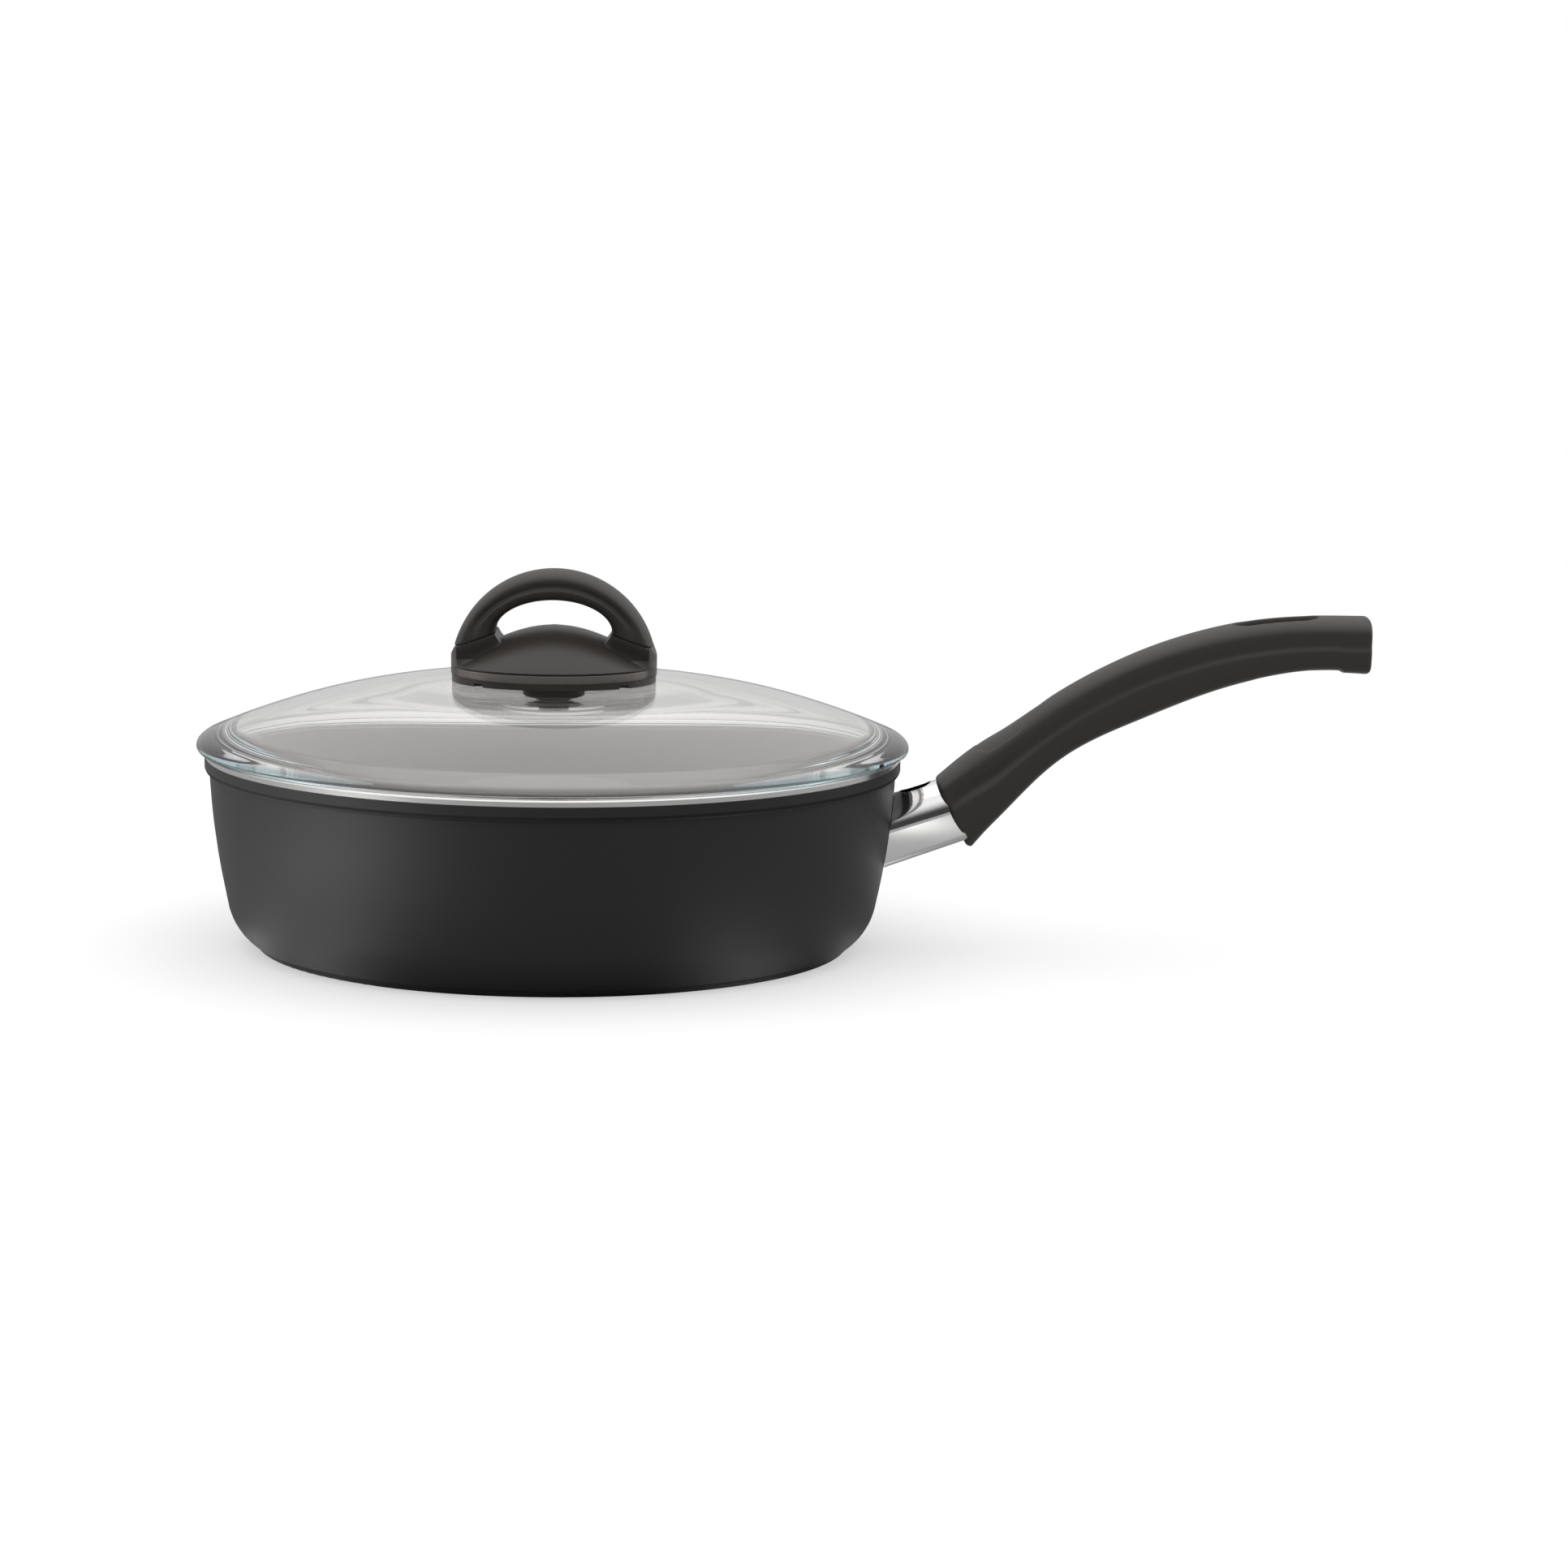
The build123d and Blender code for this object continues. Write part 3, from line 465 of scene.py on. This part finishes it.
def glassMaterial():
    shader = Shader("clearGlass")
    x, y, z, radius = shader.coordinates()
    # Painted shade: the near rim is tinted darker on its front half only.
    edge = shader.step(radius, glassTintAndShade["rimFrom"], glassTintAndShade["rimTo"])
    edge = edge * (z < glassTintAndShade["rimTop"]) * (y < glassTintAndShade["rimFront"])
    side = shader.step(shader.math("ABSOLUTE", x), glassTintAndShade["sideFrom"], glassTintAndShade["sideTo"])
    rimTintAndShade = shader.mix(side, glassTintAndShade["frontTintAndShade"], glassTintAndShade["sideTintAndShade"])
    tint = shader.mix(edge, glassTintAndShade["clear"], rimTintAndShade)
    shader.surface(Base_Color=tint, Roughness=0.0, IOR=1.5, Transmission_Weight=1.0)
    clear = shader.node("ShaderNodeBsdfTransparent", None, {"Color": (0.96, 0.96, 0.96, 1.0)})
    rays = shader.node("ShaderNodeLightPath").socket.node.outputs
    passing = shader.math("MAXIMUM", Signal(shader, rays["Is Shadow Ray"]),
                          Signal(shader, rays["Is Diffuse Ray"]))
    mixed = shader.node("ShaderNodeMixShader", None,
                        {0: passing, 1: Signal(shader, shader.bsdf.outputs[0]), 2: clear})
    shader.tree.links.new(mixed.socket, shader.tree.nodes["Material Output"].inputs["Surface"])
    return shader.material


gripPlastic = plasticMaterial("gripPlastic", 0.034, 0.46, 0.25)
knobPlastic = knobMaterial()
plainSteel = steelMaterial("plainSteel", 0.3)
polishedSteel = steelMaterial("polishedSteel", 0.05)
brass = Shader("insertBrass").surface(Base_Color=(0.7, 0.5, 0.25, 1.0), Metallic=1.0, Roughness=0.35)
rubber = plasticMaterial("sealRubber", 0.012, 0.6, 0.2)
blackSteel = plasticMaterial("blackSteel", 0.012, 0.35, 0.1)

setMaterial("pan_body", panMaterial())
setMaterial("flame_guard", polishedSteel)
for name in ("handle_grip", "knob_arch"):
    setMaterial(name, gripPlastic)
for name in ("knob_base", "knob_base_plate"):
    setMaterial(name, knobPlastic)
for name in ("handle_insert", "handle_washer", "handle_lock_washer", "handle_screw",
             "knob_arch_screws"):
    setMaterial(name, plainSteel)
for name in ("knob_washer", "knob_screw"):
    setMaterial(name, blackSteel)
setMaterial("knob_insert", brass)
for name in ("knob_seat_seal", "knob_lower_seal"):
    setMaterial(name, rubber)
print("stage: materials are on the frame's nodes")

# Grip: top and bottom points of its stations, with the half width, crease and waist at each.
grip = {
    "top": [(155.5, 69.8), (162.3, 75.9), (169.3, 81.5), (182.2, 89.8), (202.9, 104.2), (226.7, 117.4),
            (252.2, 127.6), (277.9, 134.0), (301.5, 136.4), (325.5, 136.6)],
    "bottom": [(169.4, 42.3), (175.1, 48.9), (181.0, 55.1), (196.5, 71.2), (215.8, 85.1), (235.9, 94.4),
               (260.4, 104.6), (282.3, 111.4), (304.1, 115.2), (325.5, 115.0)],
    "halfWidth": [14.6, 14.1, 13.6, 12.3, 12.3, 12.9, 13.3, 13.6, 14.0, 14.5],
    "crease": [0.55, 0.5, 0.45, 0.42, 0.44, 0.48, 0.46, 0.43, 0.41, 0.43],
    "waist": [0.88, 0.84, 0.82, 0.86, 0.9, 0.91, 0.91, 0.91, 0.92, 0.93],
    "samples": 92, "wallSamples": 8, "step": 0.62, "endRound": 2.0,
    "slotMiddle": 289.85, "slotStraight": 9.65, "slotHalfWidth": 7.5, "slotRound": 0.8,
    # The thumb dish: its depth and half width, where it starts, narrows and runs out.
    "dishDepth": 0.75, "dishWidth": 0.9, "dishOpens": (166.5, 174), "dishNarrows": (184, 206),
    "dishNarrowing": 0.62, "dishStarts": (167, 172), "dishEnds": (188, 222),
    "flareStart": 313.2, "flareReach": 2.5, "flareDepth": 0.9,
    "fineSamples": 400, "crownSamples": 150}


# Stations stand evenly along x, and by equal angles round the slot's two end circles, at the
# middle plus or minus (straight + r sin t). Each one's points and shares are natural cubic splines
# over the length of the line midway between top and bottom.
def gripStations():
    top, bottom = np.array(grip["top"]), np.array(grip["bottom"])
    middle = (top + bottom) / 2
    place = np.append(0, np.cumsum(np.linalg.norm(np.diff(middle, axis=0), axis=1)))
    fine = np.linspace(0, place[-1], 4000)
    fineX = throughValues(place, top[:, 0], fine)
    turn = np.radians(np.arange(0, 91, 7.5))
    slotEnd = grip["slotStraight"] + grip["slotHalfWidth"] * np.sin(turn)
    slotEnd = np.append(slotEnd, slotEnd[-1] + np.array([0.15, 0.35, 0.65, 1.1]))
    stationX = np.concatenate([np.arange(top[0, 0], top[-1, 0], grip["step"]), [top[-1, 0]],
                               grip["slotMiddle"] - slotEnd, grip["slotMiddle"] + slotEnd])
    stationX = np.unique(stationX.round(4))
    at = np.interp(stationX, fineX, fine)
    line = {}
    for side, points in (("top", top), ("bottom", bottom)):
        x, z = (throughValues(place, points[:, axis], at) for axis in (0, 1))
        line[side] = np.stack([x, 0 * x, z], axis=1)
    for key in ("halfWidth", "crease", "waist"):
        line[key] = throughValues(place, grip[key], at)
    return line


# The slot is a stadium seen from above. Its half width at each station is the circle's at its ends,
# and points within a round's radius of its edge sink by r - sqrt(r^2 - (r - distance)^2).
def makeGrip(material):
    line = gripStations()
    x = line["top"][:, 0]
    line["bottom"][:, 2] -= grip["flareDepth"] * ease(x, grip["flareStart"],
                                                       grip["flareStart"] + grip["flareReach"])
    past = np.maximum(np.abs(x - grip["slotMiddle"]) - grip["slotStraight"], 0)
    slotHalf = np.sqrt(np.maximum(grip["slotHalfWidth"] ** 2 - past ** 2, 0))
    halfWidth = line["halfWidth"]
    width, height = handleOutline(line["crease"], line["waist"], grip["fineSamples"])
    samples = grip["samples"]
    index = np.arange(float(grip["fineSamples"]))
    half = index < grip["crownSamples"]
    outline = []
    for w, h, slotShare in zip(width, height, slotHalf / halfWidth):
        first = np.interp(slotShare, w[half], index[half])
        last = np.interp(-slotShare, -w[~half], index[~half])
        part = np.linspace(first, last, samples)
        outline.append((np.interp(part, index, w), np.interp(part, index, h)))
    width, height = (np.array(side) for side in zip(*outline))
    # The thumb dish: a shallow hollow over the crown that ends in a crisp edge.
    edge = grip["dishWidth"] * ease(x, *grip["dishOpens"])
    edge = edge * (1 - grip["dishNarrowing"] * ease(x, *grip["dishNarrows"]))
    across = np.clip(width / np.maximum(edge, 0.01)[:, None], 0, 1)
    crown = np.arange(samples) < samples * 0.4
    reach = ease(x, *grip["dishStarts"]) * (1 - ease(x, *grip["dishEnds"]))
    dish = grip["dishDepth"] * reach[:, None] * crown
    dish = dish * across ** 2 * (1 - ease(across, 0.93, 1.0))
    tall = np.linalg.norm(line["top"] - line["bottom"], axis=1)[:, None]
    height = height - dish / tall
    radius = grip["slotRound"]
    away = np.hypot(past[:, None], width * halfWidth[:, None]) - grip["slotHalfWidth"]
    near = np.clip(radius - away, 0, radius)
    sink = (radius - np.sqrt(radius ** 2 - near ** 2)) / tall
    height = np.where(height > 0.5, height - sink, height + sink)
    share = np.linspace(0, 1, grip["wallSamples"] + 2)[1:-1]
    wall = height[:, -1:] + (height[:, :1] - height[:, -1:]) * share
    slotShare = slotHalf[:, None] / halfWidth[:, None]
    width = np.hstack([width, np.repeat(slotShare, len(share), axis=1)])
    height = np.hstack([height, wall])
    rows = handleRows(line["top"], line["bottom"], halfWidth, width, height, grip["endRound"])
    opened = np.zeros(len(rows), bool)
    extra = (len(rows) - len(x)) // 2
    opened[extra:extra + len(x)] = slotHalf > 0
    points, quads = mirroredSkin(rows, samples, opened[1:] | opened[:-1])
    return makePiece("grip_shell", points, quads, material, "pan", "handle_grip")


# Knob arch: its outside is a circle and its opening a half oval, both about the lid's axis.
arch = {"radius": 41.4, "centreZ": 110.58, "footAngle": 15.85, "openingHalfWidth": 23.3,
        "openingHeight": 12.7, "openingZ": 127.2, "openingFootAngle": 1.95,
        "halfWidth": 12.2, "footHalfWidth": 13.0, "crease": 0.37, "creaseGain": 0.1,
        "waist": 0.88, "waistGain": 0.11, "stations": 151, "samples": 72, "endRound": 0.45}


# Stations share out the way from foot to foot, -1 to 1. At each the angle is
# 90 - (90 - foot) |share| degrees, and the outer and inner points are centre + radius (cos, sin)
# on the circle and on the half oval.
def makeArch(material):
    share = np.linspace(-1, 1, arch["stations"])
    def turned(foot):
        return np.radians(90 - (90 - foot) * np.abs(share))
    outside, opening = turned(arch["footAngle"]), turned(arch["openingFootAngle"])
    side = np.sign(share)
    top = np.stack([side * arch["radius"] * np.cos(outside), 0 * share,
                    arch["centreZ"] + arch["radius"] * np.sin(outside)], axis=1)
    bottom = np.stack([side * arch["openingHalfWidth"] * np.cos(opening), 0 * share,
                       arch["openingZ"] + arch["openingHeight"] * np.sin(opening)], axis=1)
    towardsFoot = ease(np.abs(share), 0.3, 1.0)
    halfWidth = arch["halfWidth"] + (arch["footHalfWidth"] - arch["halfWidth"]) * towardsFoot
    crease = arch["crease"] + arch["creaseGain"] * towardsFoot
    waist = arch["waist"] + arch["waistGain"] * ease(np.abs(share), 0.72, 0.97)
    width, height = handleOutline(crease, waist, arch["samples"])
    rows = handleRows(top, bottom, halfWidth, width, height, arch["endRound"])
    points, quads = mirroredSkin(rows, arch["samples"], np.zeros(len(rows) - 1, bool))
    return makePiece("knob_arch_shell", points, quads, material, "lid", "knob_arch")


# Lid glass: its outer surface by radius, the thickness below it, and the rim and rib.
lid = {"radius": [0, 26, 52, 66, 80, 93, 105, 114, 122, 131, 139.5],
       "height": [107.8, 107.45, 106.5, 105.36, 103.33, 100.62, 97.4, 94.57, 91.82, 88.46, 85.0],
       "hole": 3.6, "thickness": 4.4, "rim": 143.19, "rimTurn": 52, "rimRound": 1.6, "seat": 79.8,
       "ribOuter": 134.1, "ribInner": 130.5, "ribBottom": 77.0, "ribRound": 1.15,
       "cornerReach": 5.5, "around": 320}


# Points of a circle, centre + radius (cos t, sin t), for t from start to end in degrees.
def arcPoints(centre, radius, start, end, count):
    turn = np.radians(np.linspace(start, end, count))
    return [(centre[0] + radius * np.cos(t), centre[1] + radius * np.sin(t)) for t in turn]


# The half section is turned about the lid's axis, as (r cos t, r sin t, z). The outer surface is
# a spline mirrored over the axis. The inner one lies lower by the thickness, and falls to the rib
# as the fourth power of the share of a short reach.
def makeGlass(material):
    places = np.append(-np.array(lid["radius"][:0:-1]), lid["radius"])
    heights = np.append(lid["height"][:0:-1], lid["height"])
    radii = np.concatenate([np.linspace(lid["hole"], 110, 34), np.linspace(112, 139.5, 20)])
    section = list(zip(radii, throughValues(places, heights, radii)))
    # The rim: half an oval from the dome's end down to its widest place, then the lower round.
    start = np.radians(lid["rimTurn"])
    turn = np.linspace(start, 0, 9)[1:]
    wide = lid["rim"] - lid["radius"][-1]
    low = lid["seat"] + lid["rimRound"]
    fall = lid["height"][-1] - low
    share = (np.cos(turn) - np.cos(start)) / (1 - np.cos(start))
    drop = 1 - np.sin(turn) / np.sin(start)
    section += list(zip(lid["radius"][-1] + wide * share, lid["height"][-1] - fall * drop))
    section += arcPoints((lid["rim"] - lid["rimRound"], low), lid["rimRound"], 0, -90, 9)[1:]
    bevel = lid["ribRound"]
    section += [(lid["ribOuter"] + 0.3, lid["seat"]), (lid["ribOuter"], lid["seat"] - 0.3)]
    section += arcPoints((lid["ribOuter"] - bevel, lid["ribBottom"] + bevel), bevel, 0, -90, 7)
    section += arcPoints((lid["ribInner"] + bevel, lid["ribBottom"] + bevel), bevel, -90, -180, 7)
    inner = np.linspace(lid["ribInner"], lid["ribInner"] - lid["cornerReach"], 12)
    under = throughValues(places, heights, inner) - lid["thickness"]
    bend = ((inner - inner[-1]) / lid["cornerReach"]) ** 4
    section += [(r, z) for r, z in zip(inner, under - (under - lid["ribBottom"] - 2.5) * bend)]
    radii = np.linspace(inner[-1], lid["hole"], 40)[1:]
    section += list(zip(radii, throughValues(places, heights, radii) - lid["thickness"]))
    section = np.array(section + section[:1])
    turn = np.linspace(0, 2 * np.pi, lid["around"], endpoint=False)
    radius, height = section[:, :1], section[:, 1:]
    points = np.stack([radius * np.cos(turn), radius * np.sin(turn), height + 0 * turn], axis=-1)
    quads = gridQuads(len(section), len(turn), closed=True)
    return makePiece("lid_dome", points, quads, material, "lid", "lid_glass")


# Knob base, over the same axis. The ridge line runs along the dome from its crest to one end.
base = {"halfLength": 41.4, "halfDepth": 36.0, "bottom": 109.7, "groove": 113.0, "grooveHeight": 0.55,
        "grooveDepth": 0.6, "edge": 113.9, "wall": 2.6, "boss": 0.2, "seat": 109.75,
        "ridgeX": [0, 7, 14, 20.5, 27, 34, 41.4],
        "ridgeZ": [129.4, 128.75, 127.1, 124.7, 121.5, 117.6, 113.9],
        # The lugs: a falling plane from its inner end, steeper past the joint's outer end.
        "lugInnerX": 23.4, "lugInnerZ": 126.98, "lugFall": 0.346, "lugTipX": 39.4, "lugTipFall": 1.7,
        "lugEndSlope": 1.6, "lugHalfWidth": 13.4, "lugSideSlope": 5.0,
        "fullness": 0.15, "blend": 0.7, "bead": 0.16, "beadWidth": 0.5, "beadFrom": 6, "beadTo": 11,
        "around": 288}


# The base's upper surface at any place in its plan. The dome falls from its ridge to its edge as
# (1 - q^2)(1 + fullness q^2), where q is the share of the way across. A lug is a falling plane with
# sloping sides, joined to it by a smooth maximum, with a fine bead along the joint.
def baseHeight(x, y):
    x, y = np.abs(x), np.abs(y)
    ridge = throughValues(base["ridgeX"], base["ridgeZ"], x)
    reach = base["halfDepth"] * np.sqrt(np.maximum(1 - (x / base["halfLength"]) ** 2, 1e-6))
    across = np.clip(y / reach, 0, 1) ** 2
    dome = base["edge"] + (ridge - base["edge"]) * (1 - across) * (1 + base["fullness"] * across)
    lug = base["lugInnerZ"] - base["lugFall"] * (x - base["lugInnerX"])
    lug = lug - (base["lugEndSlope"] + base["lugFall"]) * np.maximum(base["lugInnerX"] - x, 0)
    lug = lug - base["lugTipFall"] * np.maximum(x - base["lugTipX"], 0)
    lug = lug - base["lugSideSlope"] * np.maximum(y - base["lugHalfWidth"], 0)
    mix = np.clip(0.5 + (dome - lug) / (2 * base["blend"]), 0, 1)
    joined = lug + (dome - lug) * mix + base["blend"] * mix * (1 - mix)
    bead = base["bead"] * np.exp(-((dome - lug) / base["beadWidth"]) ** 2)
    bead = bead * ease(y, base["beadFrom"], base["beadTo"])
    bead = bead * ease(joined, base["edge"] + 0.3, base["edge"] + 1.5)
    return np.maximum(joined, base["edge"]) + bead


# Rings from the crest out to the oval's edge, down its wall with the groove, in under the wall,
# and back over the hollow inside to the boss.
def makeBase(material):
    turn = np.linspace(0, 2 * np.pi, base["around"], endpoint=False)
    planX, planY = base["halfLength"] * np.cos(turn), base["halfDepth"] * np.sin(turn)
    def ring(share, z):
        return np.stack([planX * share, planY * share, z + 0 * turn], axis=1)
    def inset(depth):
        return 1 - depth / base["halfLength"]
    rings = [ring(share, baseHeight(planX * share, planY * share))
             for share in np.append(np.linspace(0, 0.98, 64), [0.985, 0.99, 0.994])]
    rim = baseHeight(planX * 0.994, planY * 0.994)
    groove = base["grooveDepth"] * (1 - ease(np.abs(planX), 36.5, 40.0))
    top = base["groove"] + base["grooveHeight"]
    for depth, z in ((0.07, rim - 0.08), (0, rim - 0.25), (0, np.full(len(turn), top + 0.12)),
                     (0.12, top), (groove, top), (groove, base["groove"]), (0.2, base["groove"]),
                     (0.05, base["groove"] - 0.08), (0, base["groove"] - 0.3),
                     (0, base["bottom"] + 0.35), (0.3, base["bottom"]), (base["wall"], base["bottom"]),
                     (base["wall"], base["groove"])):
        rings.append(ring(inset(depth), z))
    for share in (0.9, 0.8, 0.65, 0.5, 0.35, base["boss"]):
        rings.append(ring(share, baseHeight(planX * share, planY * share) - base["wall"]))
    rings += [ring(base["boss"], base["seat"]), ring(0, base["seat"])]
    quads = gridQuads(len(rings), len(turn), closed=True)
    return makePiece("knob_base_shell", np.array(rings), quads, material, "lid", "knob_base")


makeGrip(gripPlastic)
makeArch(gripPlastic)
makeBase(knobPlastic)
makeGlass(glassMaterial())
print("stage: grip, knob and lid are built")
